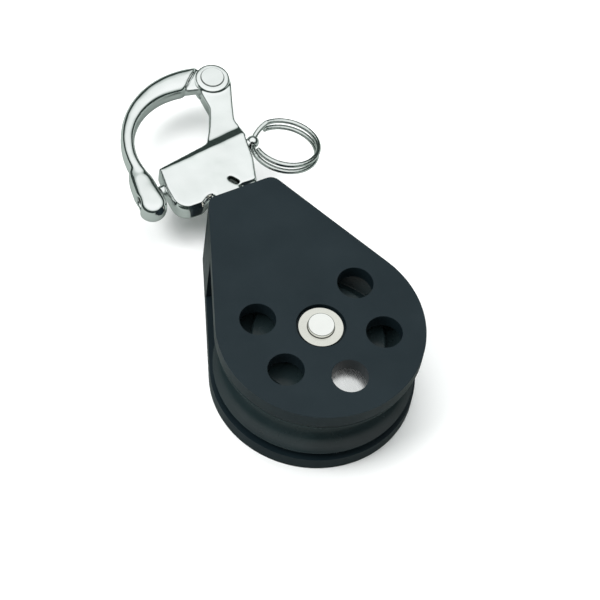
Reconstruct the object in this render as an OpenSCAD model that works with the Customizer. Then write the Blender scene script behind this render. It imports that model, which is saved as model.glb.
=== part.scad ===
// Single sheave block with a swivelling snap shackle.
// The block lies on its back shell: Z runs through the thickness, Y towards the shackle,
// and the axle stands on the origin. Millimetres.

/* [Shells] */
// Radius of the round lower end of each shell
shell_r = 32.2; // [31.8:0.1:33]
// Height of the flat head above the axle
head_y = 55.8; // [55.5:0.1:56.2]
// Half the width of the flat head
head_half_w = 12.5; // [12.2:0.1:12.8]
// Thickness of the whole block over both shells
block_t = 31; // [30.6:0.1:31.6]
// Thickness of one cheek
cheek_t = 5; // [4.8:0.1:5.2]
// Rounding of the shells' outer edges
edge_r = 2.4; // [1.5:0.1:2.6]
// Height above the axle where the head web ends and the rope space begins
web_y = 37.5; // [37:0.1:38]

/* [Lightening holes] */
// Distance of the holes from the axle
hole_pitch_r = 19.3; // [19:0.1:19.6]
// Radius of each hole
hole_r = 5.63; // [5:0.01:6]

/* [Sheave] */
// Radius over the rims
sheave_r = 31.5; // [31:0.1:31.6]
// Radius of the bottom of the rope groove
groove_r = 25.2; // [25:0.1:26]
// Width over the rims
sheave_w = 16.8; // [16.4:0.1:17]
// Radius of the raised hub disc on each side
hub_disc_r = 20.7; // [20:0.1:21]

/* [Axle] */
// Radius of the axle between its heads
axle_r = 3.5; // [3.4:0.05:3.6]
// Radius of the riveted heads
axle_head_r = 4.1; // [4:0.05:4.2]
// Radius of the washer under each head
washer_r = 6.95; // [6.8:0.05:7]
// Radius of the recess that each washer sits in
recess_r = 7.7; // [7.6:0.05:7.9]
// Depth of the recess in the front face
recess_depth = 1.7; // [1.6:0.1:1.9]
// Depth of the recess in the back face
back_recess_depth = 2.6; // [2.4:0.1:2.8]
// How far the front head stands out of the face
head_proud = 0.8; // [0.5:0.1:1]

/* [Load straps] */
// Width of the stainless straps inside the shells
strap_w = 16; // [15:0.5:16]
// Thickness of each strap
strap_t = 1.5; // [1.2:0.1:1.5]

/* [Shackle] */
// Thickness of the plunger housing
housing_t = 7.4; // [7.2:0.1:7.6]
// Thickness of the arm and the land under the bow
arm_t = 5.2; // [5:0.1:5.6]
// Tilt of the plunger from the head's flat top
plunger_tilt = 10.5; // [9:0.5:12]
// Radius of the plunger's pin
plunger_r = 2; // [1.9:0.05:2.1]
// Thickness of the bail
bail_t = 7; // [6.8:0.1:7.2]

/* [Pull ring] */
// Mean radius of the split ring's turns
ring_r = 10.7; // [10.5:0.1:11]
// Radius of the ring's wire
ring_wire_r = 0.9; // [0.8:0.05:0.95]

/* [Hidden] */

black = [0.16, 0.18, 0.20];
dark_grey = [0.24, 0.26, 0.27];
steel = [0.80, 0.81, 0.82];
bronze = [0.62, 0.50, 0.32];
ivory = [0.85, 0.84, 0.80];

mid = block_t / 2;         // height of the plane between the shells
cut = 0.5;                 // how far cutting shapes run past a face
fit_gap = 0.05;            // radial clearance of a pin in its hole
part_gap = 0.1;            // space between flat faces that move past each other
corner_r = 3.5;            // radius of the head's corners in plan

strap_z = cheek_t;                        // outer face of the back strap
strap_in = strap_z + strap_t;             // inner face of the back strap
strap_top = 52.4;                          // top of straps and head block
strap_low = -25;                          // centre height of the straps' low ends
block_low = 41;                           // underside of the head block

bush_r = 5.5;
hub_half = mid - strap_in - 1.3;          // half width of the sheave's hub
thrust_t = 1.2;
thrust_r = 10;

post_r = 3;
post_head_r = 4.8;
post_head_t = 2.4;
neck_y = head_y + 1.25;                   // underside of the shackle's neck
neck_r = 5.6;
body_low = 63.3;                          // underside of the shackle body

pivot = [15.1, 106.4];                    // bail hinge
lug_r = 5.7;
fork_slot = 3.8;                          // gap between the two lugs
tongue_t = 3.6;
slot_r = 6.5;
shoulder = 6.7;                           // distance of the bail's shoulder from the hinge
bail_pin_r = 2;
bail_head_r = 3.75;

outer_c = [4.9, 85.2];                    // centre of the bail's outer curve
outer_r = 29.5;
inner_c = [0.3, 85.6];                    // centre of the bail's inner curve
inner_r = 20.6;
bail_low = 81;                            // where the bow runs into its boss
boss_top = [-23.0, 78.5];
boss_low = [-23.5, 69.2];
boss_top_r = 3.9;
boss_low_r = 4.7;
boss_t = 7.6;

pull_hole = [17.2, 79.9];                 // centre of the ring hole in the plunger's ball
ball_r = 2.1;
tip_x = -18.9;                            // plunger tip at rest, clear of the boss
pull_home = 0.4;                          // how far the tip still springs into the boss
bore_deep_x = -17;
gland_x = 10.8;                           // inner end of the threaded gland
spring_x0 = -1.5;                         // inner end of the spring
chamber_r = 2.9;
collar_r = 2.6;
collar_t = 1.6;
ring_heading = -33.8;                     // direction from the hole to the ring's centre
ring_twist = 12.4;                        // how far the cross hole leans towards the back
ring_pitch = 2.75;                        // spacing of the ring's two turns
ring_cross = 150;                         // where round the ring the wire crosses between turns
ring_droop = 4.4;                          // how far the ring hangs towards the back

// ---- shared geometry ----

function along(x) = pull_hole[1] + (x - pull_hole[0]) * tan(plunger_tilt);

// Places children on the plunger's axis with their +Z along the pull, starting at x
module on_plunger(x) {
    translate([x, along(x), mid]) rotate([0, 0, plunger_tilt]) rotate([0, 90, 0]) children();
}

// Points of an outline whose corners [x, y, r] are rounded to radius r
function corner_arc(a, b, c) =
    let (u = a - [b[0], b[1]], v = c - [b[0], b[1]], nu = u / norm(u), nv = v / norm(v))
    let (turn = acos(min(1, max(-1, nu * nv))), run = b[2] / tan(turn / 2))
    let (middle = (nu + nv) / norm(nu + nv), centre = [b[0], b[1]] + middle * b[2] / sin(turn / 2))
    let (p = [b[0], b[1]] + nu * run - centre, q = [b[0], b[1]] + nv * run - centre)
    let (a0 = atan2(p[1], p[0]), sweep = atan2(p[0] * q[1] - p[1] * q[0], p * q))
    let (steps = max(2, ceil(abs(sweep) / 9)))
    [for (i = [0 : steps]) centre + b[2] * [cos(a0 + sweep * i / steps), sin(a0 + sweep * i / steps)]];

function rounded(pts) = [
    for (i = [0 : len(pts) - 1])
        let (a = pts[(i + len(pts) - 1) % len(pts)], b = pts[i], c = pts[(i + 1) % len(pts)])
        each (b[2] == 0 ? [[b[0], b[1]]] : corner_arc([a[0], a[1]], b, [c[0], c[1]]))
];

// A tube or solid swept through rings of points, closed at both ends
module swept(rings) {
    n = len(rings[0]);
    last = len(rings) - 1;
    points = [for (ring = rings) each ring];
    sides = [
        for (i = [0 : last - 1])
            for (j = [0 : n - 1])
                [i * n + j, i * n + (j + 1) % n, (i + 1) * n + (j + 1) % n, (i + 1) * n + j]
    ];
    start_cap = [[for (j = [n - 1 : -1 : 0]) j]];
    end_cap = [[for (j = [0 : n - 1]) last * n + j]];
    polyhedron(points, concat(start_cap, sides, end_cap));
}

module ring_disc(inner, outer, thickness) {
    difference() {
        cylinder(r = outer, h = thickness, $fn = 96);
        translate([0, 0, -cut]) cylinder(r = inner, h = thickness + 2 * cut, $fn = 64);
    }
}

// ---- shells ----

// One half of the housing before its cuts, with its outer face down at z = 0
module shell_blank() {
    hull() {
        translate([0, 0, edge_r]) rotate_extrude($fn = 120) translate([shell_r - edge_r, 0]) circle(edge_r, $fn = 28);
        cylinder(r = shell_r, h = mid - 0.01, $fn = 120);
        for (side = [-1, 1]) {
            translate([side * (head_half_w - corner_r), head_y - corner_r, 0]) {
                translate([0, 0, edge_r]) rotate_extrude($fn = 40)
                    translate([corner_r - edge_r, 0]) intersection() {
                        circle(edge_r, $fn = 28);
                        translate([0, -edge_r]) square([edge_r, 2 * edge_r]);
                    }
                cylinder(r = corner_r, h = mid - 0.01, $fn = 40);
            }
        }
    }
}

// A finished half, without the pegs or sockets that locate the other half
module shell_half(recess) {
    difference() {
        shell_blank();
        // rope and sheave space
        translate([-50, -50, cheek_t]) cube([100, 50 + web_y, mid]);
        // flat joint face between the halves
        translate([-50, 0, mid - 0.02]) cube([100, 80, 1]);
        // pocket for straps and head block
        translate([-strap_w / 2, web_y - cut, strap_z]) cube([strap_w, strap_top - web_y + cut, mid]);
        // swivel post passage
        translate([0, web_y, mid]) rotate([-90, 0, 0]) cylinder(r = post_r + 0.4, h = 40, $fn = 48);
        // axle hole and washer recess
        translate([0, 0, -cut]) cylinder(r = axle_r + fit_gap, h = cheek_t + 2 * cut, $fn = 64);
        translate([0, 0, -cut]) cylinder(r = recess_r, h = recess + cut, $fn = 96);
        for (a = [30, -30, -90, -150, 150])
            rotate([0, 0, a]) translate([hole_pitch_r, 0, -cut]) cylinder(r = hole_r, h = cheek_t + 2 * cut, $fn = 72);
    }
}

peg_spots = [[-12.2, 41], [12.2, 41], [-10.2, 49], [10.2, 49]];
peg_r = 1.2;
peg_h = 3;

module front_shell() color(black) {
    translate([0, 0, block_t]) mirror([0, 0, 1]) shell_half(recess_depth);
    for (p = peg_spots)
        translate([p[0], p[1], mid - peg_h]) cylinder(r = peg_r, h = peg_h + 2, $fn = 32);
}

module back_shell() color(black) {
    difference() {
        shell_half(back_recess_depth);
        for (p = peg_spots)
            translate([p[0], p[1], mid - peg_h - 0.3]) cylinder(r = peg_r + 0.05, h = peg_h + 1, $fn = 32);
    }
}

// ---- load path inside ----

module strap() {
    difference() {
        union() {
            translate([-strap_w / 2, strap_low, 0]) cube([strap_w, strap_top - strap_low, strap_t]);
            translate([0, strap_low, 0]) intersection() {
                cylinder(r = strap_w / 2, h = strap_t, $fn = 72);
                translate([-strap_w, -4.5, 0]) cube([2 * strap_w, 10, strap_t]);
            }
        }
        translate([0, 0, -cut]) cylinder(r = axle_r + fit_gap, h = strap_t + 2 * cut, $fn = 64);
        for (x = rivet_x)
            translate([x, rivet_y, -cut]) cylinder(r = rivet_r, h = strap_t + 2 * cut, $fn = 32);
    }
}

rivet_x = [-5.6, 5.6];
rivet_y = 46.7;
rivet_r = 1.25;
block_z = strap_in;
block_h = block_t - 2 * strap_in;

module front_strap() color(steel) translate([0, 0, block_t - strap_in]) strap();

module back_strap() color(steel) translate([0, 0, strap_z]) strap();

module head_block() color(steel) {
    difference() {
        translate([-strap_w / 2, block_low, block_z]) cube([strap_w, strap_top - block_low, block_h]);
        translate([0, block_low - cut, mid]) rotate([-90, 0, 0])
            cylinder(r = post_r + fit_gap, h = strap_top, $fn = 64);
        for (x = rivet_x)
            translate([x, rivet_y, 0]) cylinder(r = rivet_r, h = block_t, $fn = 32);
    }
}

module strap_rivets() color(steel) {
    for (x = rivet_x)
        translate([x, rivet_y, strap_z]) cylinder(r = rivet_r, h = block_t - 2 * strap_z, $fn = 32);
}

// ---- axle and sheave ----

washer_t = 1;

module axle() color(steel) {
    front_face = block_t - recess_depth + washer_t;
    back_face = back_recess_depth - washer_t;
    translate([0, 0, back_face]) cylinder(r = axle_r, h = front_face - back_face, $fn = 64);
    cylinder(r = axle_head_r, h = back_face, $fn = 72);
    translate([0, 0, front_face]) cylinder(r = axle_head_r, h = block_t + head_proud - front_face, $fn = 72);
}

module front_axle_washer() color(steel)
    translate([0, 0, block_t - recess_depth]) ring_disc(axle_r, washer_r, washer_t);

module back_axle_washer() color(steel)
    translate([0, 0, back_recess_depth - washer_t]) ring_disc(axle_r, washer_r, washer_t);

module sheave() color(dark_grey) {
    rim_half = sheave_w / 2;
    crest = rim_half - 0.9;               // where each rim is highest
    bowl_r = (crest * crest + pow(sheave_r - groove_r, 2)) / (2 * (sheave_r - groove_r));
    bowl_y = groove_r + bowl_r;
    step_angle = asin(crest / bowl_r) / 9;
    web_half = 5.2;
    groove = [for (i = [-9 : 9]) [bowl_y - bowl_r * cos(i * step_angle), bowl_r * sin(i * step_angle)]];
    translate([0, 0, mid]) rotate_extrude($fn = 144) polygon(concat(
        [[bush_r, -hub_half], [hub_disc_r - 0.4, -hub_half], [hub_disc_r, -hub_half + 0.4],
         [hub_disc_r, -web_half], [23.6, -web_half], [27.4, -rim_half], [sheave_r - 0.7, -rim_half],
         [sheave_r - 0.2, -rim_half + 0.35]],
        groove,
        [[sheave_r - 0.2, rim_half - 0.35], [sheave_r - 0.7, rim_half], [27.4, rim_half], [23.6, web_half],
         [hub_disc_r, web_half], [hub_disc_r, hub_half - 0.4], [hub_disc_r - 0.4, hub_half],
         [bush_r, hub_half]]
    ));
}

module sheave_bush() color(bronze)
    translate([0, 0, mid - hub_half]) ring_disc(axle_r + fit_gap, bush_r, 2 * hub_half);

module front_thrust_washer() color(ivory)
    translate([0, 0, block_t - strap_in - thrust_t]) ring_disc(axle_r + fit_gap, thrust_r, thrust_t);

module back_thrust_washer() color(ivory)
    translate([0, 0, strap_in]) ring_disc(axle_r + fit_gap, thrust_r, thrust_t);

// ---- swivel ----

module swivel_post() color(steel) {
    translate([0, block_low - part_gap - post_head_t, mid]) rotate([-90, 0, 0]) {
        cylinder(r = post_head_r, h = post_head_t, $fn = 64);
        cylinder(r = post_r, h = body_low + 4 - block_low + post_head_t, $fn = 64);
    }
}

module swivel_washer() color(ivory)
    translate([0, head_y, mid]) rotate([-90, 0, 0]) ring_disc(post_r + fit_gap, 6.4, neck_y - head_y - part_gap);

// ---- shackle ----

// Outline of the cast plate: land under the bow, arm and fork
land_outline = [
    [-16.7, 79.9, 0.8], [2.2, 83.4, 3.5], [6.0, 89.4, 8], [9.4, 96.3, 4], [9.4, 106.4, 0],
    [20.8, 106.4, 0], [20.6, 103.2, 6], [17.6, 96.2, 8], [14.8, 89.0, 5], [15.5, 82.4, 1.2],
    [13.5, 72, 9], [10.6, body_low, 1], [-6.4, body_low, 2], [-9.2, body_low - 1.6, 2],
    [-17.5, body_low - 1.6, 5.2], [-17.7, 72, 8]
];

// Outline of the thicker plunger housing on both faces of the plate
housing_outline = [
    [-16.5, 78.7, 0.8], [15.1, 82.3, 1.2], [13.4, 72, 9], [10.6, body_low + 0.9, 1], [-6.6, body_low + 0.9, 2],
    [-9.4, body_low - 1, 2], [-17.2, body_low - 1, 5.2], [-17.4, 72, 8]
];
fade = 20;                                // slope from the housing down to the plate under the bow

module slab(outline, thickness) {
    translate([0, 0, mid - thickness / 2]) linear_extrude(thickness) polygon(rounded(outline));
}

// Wedge that carries one face of the housing down to the plate, towards the bow
module housing_fade(side) {
    a = [-16.5, 78.7];
    b = [15.1, 82.3];
    run = norm(b - a);
    drop = (housing_t - arm_t) / 2;
    low = drop / tan(fade);
    intersection() {
        slab(land_outline, housing_t);
        translate([a[0], a[1], mid]) rotate([0, 0, atan2(b[1] - a[1], b[0] - a[0])]) rotate([90, 0, 90])
            linear_extrude(run) polygon([
                [-1, side * arm_t / 2 - side * 0.5], [-1, side * housing_t / 2], [0, side * housing_t / 2],
                [low, side * arm_t / 2], [low, side * arm_t / 2 - side * 0.5]
            ]);
    }
}

module shackle_body() color(steel) {
    difference() {
        union() {
            slab(land_outline, arm_t);
            slab(housing_outline, housing_t);
            for (side = [-1, 1]) housing_fade(side);
            translate([pivot[0], pivot[1], mid - housing_t / 2]) cylinder(r = lug_r, h = housing_t, $fn = 72);
            // neck, flattened flush with the housing's faces
            intersection() {
                translate([0, neck_y, mid]) rotate([-90, 0, 0])
                    cylinder(r = neck_r, h = body_low - neck_y + 1, $fn = 64);
                translate([-10, neck_y - cut, mid - housing_t / 2]) cube([20, 20, housing_t]);
            }
        }
        // slot between the lugs
        translate([pivot[0], pivot[1], mid - fork_slot / 2]) cylinder(r = slot_r, h = fork_slot, $fn = 72);
        // hinge pin
        translate([pivot[0], pivot[1], 0]) cylinder(r = bail_pin_r, h = block_t, $fn = 48);
        // plunger bore, spring chamber and gland seat
        on_plunger(-25) cylinder(r = plunger_r + fit_gap, h = 60, $fn = 48);
        on_plunger(spring_x0) cylinder(r = chamber_r, h = 40, $fn = 48);
        // swivel post
        translate([0, neck_y - cut, mid]) rotate([-90, 0, 0]) cylinder(r = post_r, h = body_low + 4 - neck_y + cut, $fn = 64);
        // drain slot beside the plunger
        hull() for (p = [[3.1, 67.5], [4.3, 65.6]])
            translate([p[0], p[1], mid + housing_t / 2 - 1.6]) cylinder(r = 0.8, h = 3, $fn = 24);
    }
}

module bail_pin() color(steel) {
    translate([pivot[0], pivot[1], mid - housing_t / 2 - 0.5])
        cylinder(r = bail_pin_r, h = housing_t + 1, $fn = 48);
    for (z = [mid - housing_t / 2 - 0.5, mid + housing_t / 2])
        translate([pivot[0], pivot[1], z]) cylinder(r = bail_head_r, h = 0.5, $fn = 64);
}

// Where a line from point p at angle a leaves a circle
function reach_circle(p, a, c, r) =
    let (d = [cos(a), sin(a)], m = p - c, b = m * d)
    -b + sqrt(b * b - m * m + r * r);

// Bow of the bail: an oval section swept between the outer and inner curves
module bow() {
    hub = (outer_c + inner_c) / 2;
    side_points = 16;
    a0 = 66;
    a1 = 190;
    steps = 36;
    swept([
        for (i = [0 : steps])
            let (a = a0 + (a1 - a0) * i / steps, d = [cos(a), sin(a)])
            let (ro = reach_circle(hub, a, outer_c, outer_r), ri = reach_circle(hub, a, inner_c, inner_r))
            let (rm = (ro + ri) / 2, rw = (ro - ri) / 2)
            [
                for (j = [0 : side_points - 1])
                    let (t = 360 * (j + 0.5) / side_points)
                    let (k = 1 / pow(pow(abs(cos(t)), 3.4) + pow(abs(sin(t)), 3.4), 1 / 3.4))
                    [hub[0] + d[0] * (rm - rw * k * cos(t)), hub[1] + d[1] * (rm - rw * k * cos(t)),
                     mid - bail_t / 2 * k * sin(t)]
            ]
    ]);
}

module bail() color(steel) {
    difference() {
        union() {
            difference() {
                bow();
                // straight shoulder that stays clear of the lugs
                translate([pivot[0], pivot[1], 0]) rotate([0, 0, 41.7])
                    translate([-20, -20, 0]) cube([40, 20 + shoulder, block_t]);
            }
            // tongue between the lugs
            translate([0, 0, mid - tongue_t / 2]) linear_extrude(tongue_t) polygon([
                [pivot[0] + 1.5, pivot[1] + 5.1], [pivot[0] - 1, pivot[1] + 5.3], [12.4, 113.2], [9.5, 113.4],
                [5.0, 108.5], [5.6, 106.0], [pivot[0] - 5.2, pivot[1] - 1.4], [pivot[0], pivot[1] - 5]
            ]);
            translate([pivot[0], pivot[1], mid - tongue_t / 2]) cylinder(r = 5.4, h = tongue_t, $fn = 72);
            // boss that the plunger enters, with its faces rounded off
            hull() {
                for (c = [[boss_top, boss_top_r, bail_t], [boss_low, boss_low_r, boss_t]])
                    for (step = [[0, 2.4], [0.4, 1.2], [1.1, 0.4], [2.1, 0]])
                        translate([c[0][0], c[0][1], mid - c[2] / 2 + step[1]])
                            cylinder(r = c[1] - step[0], h = c[2] - 2 * step[1], $fn = 32);
                translate([boss_top[0] - 0.2, boss_top[1] + 3.4, mid - bail_t / 2 + 1]) cylinder(r = 2.6, h = bail_t - 2, $fn = 32);
            }
        }
        translate([pivot[0], pivot[1], 0]) cylinder(r = bail_pin_r + fit_gap, h = block_t, $fn = 48);
        on_plunger(-32) cylinder(r = plunger_r + 0.08, h = 20, $fn = 48);
        on_plunger(-31) cylinder(r = 2.9, h = 4.4, $fn = 48);
        // flat that faces the housing
        translate([-18.8, 55, 0]) cube([10, 24, block_t]);
    }
}

module plunger() color(steel) {
    x_tail = pull_hole[0];
    difference() {
        union() {
            on_plunger(tip_x) cylinder(r = plunger_r, h = (x_tail - tip_x) / cos(plunger_tilt) - 1.5, $fn = 48);
            on_plunger(x_tail - 3) cylinder(r = 1.7, h = 3, $fn = 48);
            on_plunger(x_tail) sphere(r = ball_r, $fn = 48);
            // collar that the spring pushes on
            on_plunger(spring_x0 + pull_home + 0.3) cylinder(r = collar_r, h = collar_t, $fn = 48);
        }
        translate([pull_hole[0], pull_hole[1], mid]) rotate([0, 0, ring_heading]) rotate([90 - ring_twist, 0, 0])
            translate([0, 0, -5]) cylinder(r = ring_wire_r + 0.32, h = 10, $fn = 40);
    }
}

module plunger_spring() color(steel) {
    wire = 0.28;
    coil_r = 2.42;
    x0 = spring_x0 + pull_home + 0.3 + collar_t + wire;
    turns = 6;
    length = (gland_x - x0) / cos(plunger_tilt) - 2 * wire;
    per_turn = 12;
    on_plunger(x0) swept([
        for (i = [0 : turns * per_turn])
            let (a = 360 * i / per_turn, z = length * i / (turns * per_turn))
            [
                for (j = [0 : 5])
                    let (t = 60 * j, r = coil_r + wire * cos(t))
                    [r * cos(a), r * sin(a), z + wire * sin(t)]
            ]
    ]);
}

module plunger_gland() color(steel) {
    face_x = 13.4;
    on_plunger(gland_x) difference() {
        cylinder(r = chamber_r, h = (face_x - gland_x) / cos(plunger_tilt), $fn = 48);
        translate([0, 0, -cut]) cylinder(r = plunger_r + fit_gap, h = 10, $fn = 48);
    }
}

// ---- pull ring ----

// Height of the wire above the turn in the plunger, from the first end to the last
function ring_rise(a) = ring_pitch * min(1, max(0, (ring_cross + 16 - a) / 32));

module split_ring() color(steel) {
    steps = 78;
    first = ring_cross - 295;
    last = ring_cross + 347;
    translate([pull_hole[0], pull_hole[1], mid]) rotate([0, 0, ring_heading]) rotate([-ring_twist, 0, 0]) rotate([0, ring_droop, 0])
        translate([ring_r, 0, 0]) swept([
            for (i = [0 : steps])
                let (a = first + (last - first) * i / steps, z = ring_rise(a))
                [
                    for (j = [0 : 7])
                        let (t = 45 * (j + 0.5), r = ring_r + ring_wire_r * cos(t))
                        [r * cos(a), r * sin(a), z - ring_wire_r * sin(t)]
                ]
        ]);
}

front_shell();
back_shell();
front_strap();
back_strap();
head_block();
strap_rivets();
axle();
front_axle_washer();
back_axle_washer();
sheave();
sheave_bush();
front_thrust_washer();
back_thrust_washer();
swivel_post();
swivel_washer();
shackle_body();
bail_pin();
bail();
plunger();
plunger_spring();
plunger_gland();
split_ring();
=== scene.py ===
"""Looks of the single sheave block: materials, softened edges, floor, light and camera. Metres."""
import math

import bpy
from mathutils import Matrix, Vector

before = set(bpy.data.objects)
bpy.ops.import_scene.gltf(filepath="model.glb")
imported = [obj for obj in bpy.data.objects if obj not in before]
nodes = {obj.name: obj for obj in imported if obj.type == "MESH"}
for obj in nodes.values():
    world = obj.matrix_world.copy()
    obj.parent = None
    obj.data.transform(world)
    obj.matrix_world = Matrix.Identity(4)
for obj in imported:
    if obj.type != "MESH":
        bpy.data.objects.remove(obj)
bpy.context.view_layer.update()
MM = 0.001

# Where painted shade darkens the metal: inside the slot in the shackle's face, and in a thin line round the
# foot of each pin head
HOUSING_FACE = 19.2 * MM
SLOT_MIDDLE = (3.7 * MM, 66.55 * MM, 17.8 * MM)
SLOT_REACH = 2.6 * MM
BAIL_HINGE = (15.1 * MM, 106.4 * MM)
BAIL_PIN_HEAD_R = 3.75 * MM
AXLE_HEAD_R = 4.1 * MM


# ---- material parts ----

def new_material(name, colour, roughness, metallic=0.0):
    """A Principled material and its shader."""
    material = bpy.data.materials.new(name)
    material.use_nodes = True
    shader = material.node_tree.nodes["Principled BSDF"]
    shader.inputs["Base Color"].default_value = (*colour, 1)
    shader.inputs["Roughness"].default_value = roughness
    shader.inputs["Metallic"].default_value = metallic
    return material, shader


def add_node(material, kind, **inputs):
    """A node with the named inputs set; an underscore stands for a space in an input's name."""
    node = material.node_tree.nodes.new(kind)
    for name, value in inputs.items():
        node.inputs[name.replace("_", " ")].default_value = value
    return node


def link(material, a, out, b, into):
    material.node_tree.links.new(a.outputs[out], b.inputs[into])


def object_space(material, stretch=(1, 1, 1)):
    """Coordinates fixed to the object, stretched along some axes."""
    coords = add_node(material, "ShaderNodeTexCoord")
    mapping = add_node(material, "ShaderNodeMapping", Scale=stretch)
    link(material, coords, "Object", mapping, "Vector")
    return mapping


def noise(material, space, per_metre, detail, roughness=0.5):
    node = add_node(material, "ShaderNodeTexNoise", Scale=per_metre, Detail=detail, Roughness=roughness)
    link(material, space, "Vector", node, "Vector")
    return node


def spread(material, source, out, low, high, source_low=0.3, source_high=0.7):
    """Maps a source's range, by default a noise's usual one, to low..high."""
    node = add_node(material, "ShaderNodeMapRange",
                    From_Min=source_low, From_Max=source_high, To_Min=low, To_Max=high)
    link(material, source, out, node, "Value")
    return node


def vary_gloss(material, shader, texture, low, high):
    link(material, spread(material, texture, "Fac", low, high), "Result", shader, "Roughness")


def vary_colour(material, shader, texture, dark, light):
    ramp = add_node(material, "ShaderNodeValToRGB")
    ramp.color_ramp.elements[0].position = 0.32
    ramp.color_ramp.elements[0].color = (*dark, 1)
    ramp.color_ramp.elements[1].position = 0.68
    ramp.color_ramp.elements[1].color = (*light, 1)
    link(material, texture, "Fac", ramp, "Fac")
    link(material, ramp, "Color", shader, "Base Color")


def add_bump(material, shader, texture, strength, depth):
    bump = add_node(material, "ShaderNodeBump", Strength=strength, Distance=depth)
    link(material, texture, "Fac", bump, "Height")
    link(material, bump, "Normal", shader, "Normal")
    return bump


def blend_colour(material, factor, out, colour):
    """Mixes a colour over a material's own colour by a factor."""
    shader = material.node_tree.nodes["Principled BSDF"]
    own_colour = shader.inputs["Base Color"].links[0].from_socket
    mix = add_node(material, "ShaderNodeMix")
    mix.data_type = "RGBA"
    own, other, result = mix.inputs[6], mix.inputs[7], mix.outputs[2]   # the node's colour sockets
    material.node_tree.links.new(own_colour, own)
    other.default_value = (*colour, 1)
    link(material, factor, out, mix, "Factor")
    material.node_tree.links.new(result, shader.inputs["Base Color"])


def distance_from(material, centre):
    """Distance from a point, or from the vertical line through it when the point has no height."""
    upright = len(centre) == 2
    space = object_space(material, (1, 1, 0 if upright else 1))
    away = add_node(material, "ShaderNodeVectorMath")
    away.operation = "DISTANCE"
    away.inputs[1].default_value = (*centre, 0) if upright else centre
    link(material, space, "Vector", away, 0)
    return away


def painted_shade_inside(material, centre, radius, below, colour):
    """Painted shade in a small cut: dark near a point and under a height."""
    near = spread(material, distance_from(material, centre), "Value", 0, 1, radius, radius * 0.9)
    parts = add_node(material, "ShaderNodeSeparateXYZ")
    link(material, add_node(material, "ShaderNodeTexCoord"), "Object", parts, "Vector")
    deep = spread(material, parts, "Z", 0, 1, below, below - 0.35 * MM)
    both = add_node(material, "ShaderNodeMath")
    both.operation = "MULTIPLY"
    link(material, near, "Result", both, 0)
    link(material, deep, "Result", both, 1)
    blend_colour(material, both, "Value", colour)


def painted_shade_round(material, centre, radius, colour):
    """A thin dark line of painted shade round the foot of an upright pin head."""
    outside, inside = radius + 0.3 * MM, radius + 0.12 * MM
    line = spread(material, distance_from(material, centre), "Value", 0, 1, outside, inside)
    blend_colour(material, line, "Result", colour)


# ---- kinds of material ----

def moulded_plastic(name, dark, light, low_rough, high_rough):
    """Satin moulded plastic: cloudy colour, uneven gloss and a fine grain."""
    material, shader = new_material(name, light, high_rough)
    space = object_space(material)
    vary_colour(material, shader, noise(material, space, 55, 4), dark, light)
    vary_gloss(material, shader, noise(material, space, 140, 5, 0.6), low_rough, high_rough)
    add_bump(material, shader, noise(material, space, 2600, 2), 0.25, 0.02 * MM)
    shader.inputs["Specular IOR Level"].default_value = 0.18
    return material


def turned_plastic(name, dark, light, low_rough, high_rough):
    """Turned plastic: fine rings about the axle on top of uneven gloss."""
    material, shader = new_material(name, light, high_rough)
    space = object_space(material)
    vary_colour(material, shader, noise(material, space, 70, 4), dark, light)
    vary_gloss(material, shader, noise(material, space, 160, 4), low_rough, high_rough)
    rings = add_node(material, "ShaderNodeTexWave", Scale=420, Distortion=0.6, Detail=2)
    rings.wave_type = "RINGS"
    rings.rings_direction = "Z"
    link(material, space, "Vector", rings, "Vector")
    add_bump(material, shader, rings, 0.12, 0.02 * MM)
    shader.inputs["Specular IOR Level"].default_value = 0.3
    return material


def polished_metal(name, colour, low_rough, high_rough, stretch=(1, 1, 1), lines=300, relief=0.006, waves=0):
    """Metal with faint smears in its gloss and relief, which stretch turns into drawn lines.
    Relief and waves are in millimetres; waves are the slow ones that hand polishing leaves."""
    material, shader = new_material(name, colour, low_rough, 1.0)
    smears = noise(material, object_space(material, stretch), lines, 5, 0.6)
    vary_gloss(material, shader, smears, low_rough, high_rough)
    tint = [c * 0.93 for c in colour]
    vary_colour(material, shader, noise(material, object_space(material), 90, 3), tint, colour)
    fine = add_bump(material, shader, smears, 0.1, relief * MM)
    if waves:
        slow = add_node(material, "ShaderNodeBump", Strength=1.0, Distance=waves * MM)
        link(material, noise(material, object_space(material), 110, 1), "Fac", slow, "Height")
        link(material, slow, "Normal", fine, "Normal")
    return material


def matte(name, colour, roughness, specular):
    """A plain material for the stage."""
    material, shader = new_material(name, colour, roughness)
    shader.inputs["Specular IOR Level"].default_value = specular
    return material


# ---- the materials and what wears them ----

shell_black = moulded_plastic("shell_black", (0.0058, 0.0115, 0.0148), (0.0082, 0.0148, 0.0185), 0.36, 0.46)
sheave_dark = turned_plastic("sheave_dark", (0.008, 0.015, 0.0165), (0.013, 0.022, 0.024), 0.18, 0.3)
ivory = moulded_plastic("acetal_ivory", (0.62, 0.6, 0.54), (0.72, 0.7, 0.64), 0.4, 0.52)
steel = polished_metal("polished_steel", (0.91, 0.93, 0.92), 0.05, 0.10, waves=0.32)
cast_steel = polished_metal("cast_steel", (0.92, 0.94, 0.93), 0.05, 0.10, waves=0.32)
washer_steel = polished_metal("washer_steel", (0.80, 0.79, 0.73), 0.16, 0.26, lines=700)
pin_steel = polished_metal("pin_steel", (0.96, 0.96, 0.93), 0.12, 0.2, lines=500)
drawn_steel = polished_metal("plain_steel", (0.78, 0.78, 0.78), 0.2, 0.34,
                             stretch=(12, 1, 12), lines=240, relief=0.01)
wire_steel = polished_metal("wire_steel", (0.78, 0.81, 0.79), 0.08, 0.14)
bronze = polished_metal("bush_bronze", (0.6, 0.42, 0.2), 0.25, 0.4)

# Painted shade: dark inside the slot in the shackle's face
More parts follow.
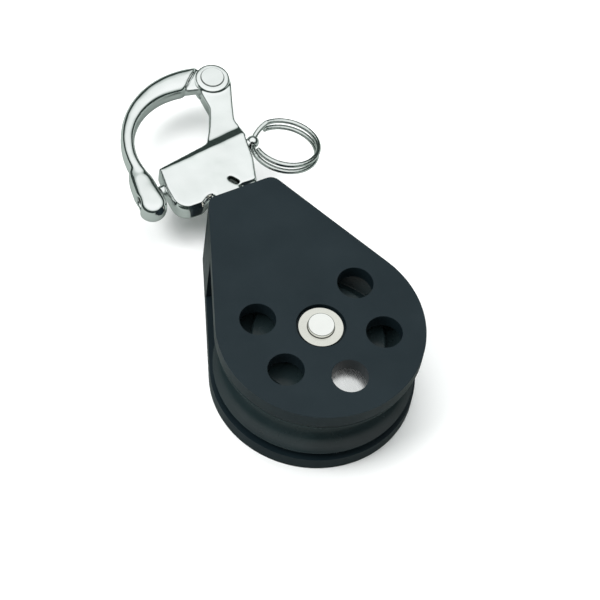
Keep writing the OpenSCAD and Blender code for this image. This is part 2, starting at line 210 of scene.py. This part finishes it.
painted_shade_inside(cast_steel, SLOT_MIDDLE, SLOT_REACH, HOUSING_FACE - 0.15 * MM, (0.05, 0.06, 0.055))
# Painted shade: a thin dark line round the foot of the bail pin head, and on the axle washers round the foot
# of the axle head
painted_shade_round(cast_steel, BAIL_HINGE, BAIL_PIN_HEAD_R, (0.12, 0.13, 0.125))
painted_shade_round(washer_steel, (0, 0), AXLE_HEAD_R, (0.08, 0.08, 0.07))

LOOKS = {
    shell_black: ["front_shell", "back_shell"],
    sheave_dark: ["sheave"],
    ivory: ["front_thrust_washer", "back_thrust_washer", "swivel_washer"],
    cast_steel: ["shackle_body"],
    steel: ["bail", "bail_pin", "plunger"],
    wire_steel: ["split_ring"],
    washer_steel: ["front_axle_washer", "back_axle_washer"],
    pin_steel: ["axle"],
    drawn_steel: ["front_strap", "back_strap", "head_block", "strap_rivets", "swivel_post",
                  "plunger_spring", "plunger_gland"],
    bronze: ["sheave_bush"],
}
for material, names in LOOKS.items():
    for name in names:
        mesh = nodes[name].data
        mesh.materials.clear()
        mesh.materials.append(material)


# ---- softened edges ----

# How far the sharp edges of these turned, moulded and cut nodes are rounded, in millimetres
EDGE = {
    "front_shell": 0.3, "back_shell": 0.3, "sheave": 0.12, "bail_pin": 0.16, "axle": 0.45,
    "front_axle_washer": 0.14, "back_axle_washer": 0.14, "swivel_post": 0.2, "swivel_washer": 0.12,
    "head_block": 0.2, "front_strap": 0.15, "back_strap": 0.15,
}
SAME_FACE_BELOW = math.radians(0.6)       # faces that meet at less than this become one
SMOOTH_BELOW = math.radians(32)           # edges that turn by less than this stay as they are

# Polished nodes that flow all over: grain of the new surface in millimetres, and smoothing passes
POLISHED = {
    "shackle_body": (0.25, 32), "bail": (0.25, 70), "split_ring": (0.17, 6), "plunger": (0.17, 5),
}


def weld_and_shade(obj):
    """Joins the CAD mesh's faces and shades them smooth, without the normals it came with."""
    custom = obj.data.attributes.get("custom_normal")
    if custom is not None:
        obj.data.attributes.remove(custom)
    obj.data.shade_smooth()
    weld = obj.modifiers.new("join", "WELD")
    weld.merge_threshold = 0.0005 * MM


def round_edges(obj, width):
    """Rounds an object's sharp edges by a width in millimetres."""
    flat = obj.modifiers.new("flat_faces", "DECIMATE")
    flat.decimate_type = "DISSOLVE"
    flat.angle_limit = SAME_FACE_BELOW
    bevel = obj.modifiers.new("edge", "BEVEL")
    bevel.width = width * MM
    bevel.segments = 3
    bevel.limit_method = "ANGLE"
    bevel.angle_limit = SMOOTH_BELOW
    bevel.miter_outer = "MITER_ARC"
    bevel.harden_normals = True


def flow(obj, grain, passes):
    """Rebuilds a part's surface evenly and lets its edges and corners flow, as polishing does."""
    even = obj.modifiers.new("even", "REMESH")
    even.mode = "VOXEL"
    even.voxel_size = grain * MM
    even.use_smooth_shade = True
    polish = obj.modifiers.new("polish", "SMOOTH")
    polish.factor = 0.5
    polish.iterations = passes


for name, obj in nodes.items():
    weld_and_shade(obj)
    if name in EDGE:
        round_edges(obj, EDGE[name])
    if name in POLISHED:
        flow(obj, *POLISHED[name])


# ---- floor and boards ----

FLOOR_SIZE = 14
CARD_SIZE = 2.6
FLAGS = 12                                # boards in the ring round the block
FLAG_DISTANCE = 1.1
FLAG_WIDTH = 0.62
FLAG_HEIGHT = 0.74


def stage_board(name, corners, material, location, turn=0):
    """A flat board with four corners on the stage, turned about Z by radians."""
    mesh = bpy.data.meshes.new(name)
    mesh.from_pydata(corners, [], [(0, 1, 2, 3)])
    mesh.materials.append(material)
    obj = bpy.data.objects.new(name, mesh)
    bpy.context.scene.collection.objects.link(obj)
    obj.location = location
    obj.rotation_euler = (0, 0, turn)
    return obj


def flat_square(size):
    half = size / 2
    return [(-half, -half, 0), (half, -half, 0), (half, half, 0), (-half, half, 0)]


def only_in_reflections(obj):
    obj.visible_camera = False
    obj.visible_diffuse = False
    obj.visible_shadow = False


stage_board("floor", flat_square(FLOOR_SIZE), matte("floor_pale", (0.93, 0.93, 0.93), 0.85, 0.1),
            (0, 0, -0.02 * MM))

# Dark boards upright in a ring: polished edges pick up their dark lines from them
flag_black = matte("flag_black", (0.022, 0.031, 0.028), 1.0, 0.0)
half = FLAG_WIDTH / 2
upright = [(0, -half, 0), (0, half, 0), (0, half, FLAG_HEIGHT), (0, -half, FLAG_HEIGHT)]
for i in range(FLAGS):
    turn = i * 2 * math.pi / FLAGS
    place = (FLAG_DISTANCE * math.cos(turn), FLAG_DISTANCE * math.sin(turn), 0)
    only_in_reflections(stage_board(f"flag_{i}", upright, flag_black, place, turn))

# Grey card just over the floor: polished sides see it in place of the white floor
card_grey = matte("card_grey", (0.25, 0.28, 0.265), 1.0, 0.0)
only_in_reflections(stage_board("card", flat_square(CARD_SIZE), card_grey, (0, 0, -0.01 * MM)))


# ---- light ----

LIGHT_AIM = Vector((0, 0.03, 0))

# Surroundings by the height of the view, 0 at the horizon and 1 overhead: pale behind the floor,
# a dark band above it, then brighter up to the top
SKY = [
    (0.2, (0.96, 0.98, 0.98)), (0.42, (0.13, 0.16, 0.145)), (0.62, (0.46, 0.51, 0.49)),
    (0.77, (0.86, 0.895, 0.885)), (0.92, (0.96, 0.98, 0.98)),
]
SKY_STRENGTH = 1.06


def area_light(name, location, size, power):
    """A round soft light aimed at the block, which reflections don't see."""
    data = bpy.data.lights.new(name, "AREA")
    data.shape = "DISK"
    data.size = size
    data.energy = power
    obj = bpy.data.objects.new(name, data)
    bpy.context.scene.collection.objects.link(obj)
    obj.location = location
    obj.rotation_euler = (LIGHT_AIM - Vector(location)).to_track_quat("-Z", "Y").to_euler()
    obj.visible_glossy = False


area_light("key", (-0.9, 0.3, 1.1), 0.9, 16)
area_light("top", (0.2, 0.5, 1.4), 1.2, 14)

world = bpy.data.worlds.new("studio")
bpy.context.scene.world = world
world.use_nodes = True
tree = world.node_tree
background = tree.nodes["Background"]
direction = tree.nodes.new("ShaderNodeTexCoord")
height = tree.nodes.new("ShaderNodeSeparateXYZ")
sky = tree.nodes.new("ShaderNodeValToRGB")
tree.links.new(direction.outputs["Generated"], height.inputs["Vector"])
tree.links.new(height.outputs["Z"], sky.inputs["Fac"])
tree.links.new(sky.outputs["Color"], background.inputs["Color"])
background.inputs["Strength"].default_value = SKY_STRENGTH

stops = sky.color_ramp.elements
stops[0].position = SKY[0][0]
stops[1].position = SKY[-1][0]
for place, _ in SKY[1:-1]:
    stops.new(place)
for stop, (_, colour) in zip(stops, SKY):
    stop.color = (*colour, 1)

bpy.context.scene.view_settings.view_transform = "Standard"


# ---- camera, at the reference view ----

CAMERA_PLACE = (-0.2294, -0.3138, 0.6356)
CAMERA_RIGHT = Vector((0.8895, -0.4468, 0.0950))
CAMERA_UP = Vector((0.3310, 0.7738, 0.5400))
camera_data = bpy.data.cameras.new("camera")
camera_data.lens = 142.5
camera_data.sensor_width = 36
camera = bpy.data.objects.new("camera", camera_data)
bpy.context.scene.collection.objects.link(camera)
camera_axes = Matrix((CAMERA_RIGHT, CAMERA_UP, CAMERA_RIGHT.cross(CAMERA_UP))).transposed()
camera.matrix_world = Matrix.Translation(CAMERA_PLACE) @ camera_axes.to_4x4()
bpy.context.scene.camera = camera
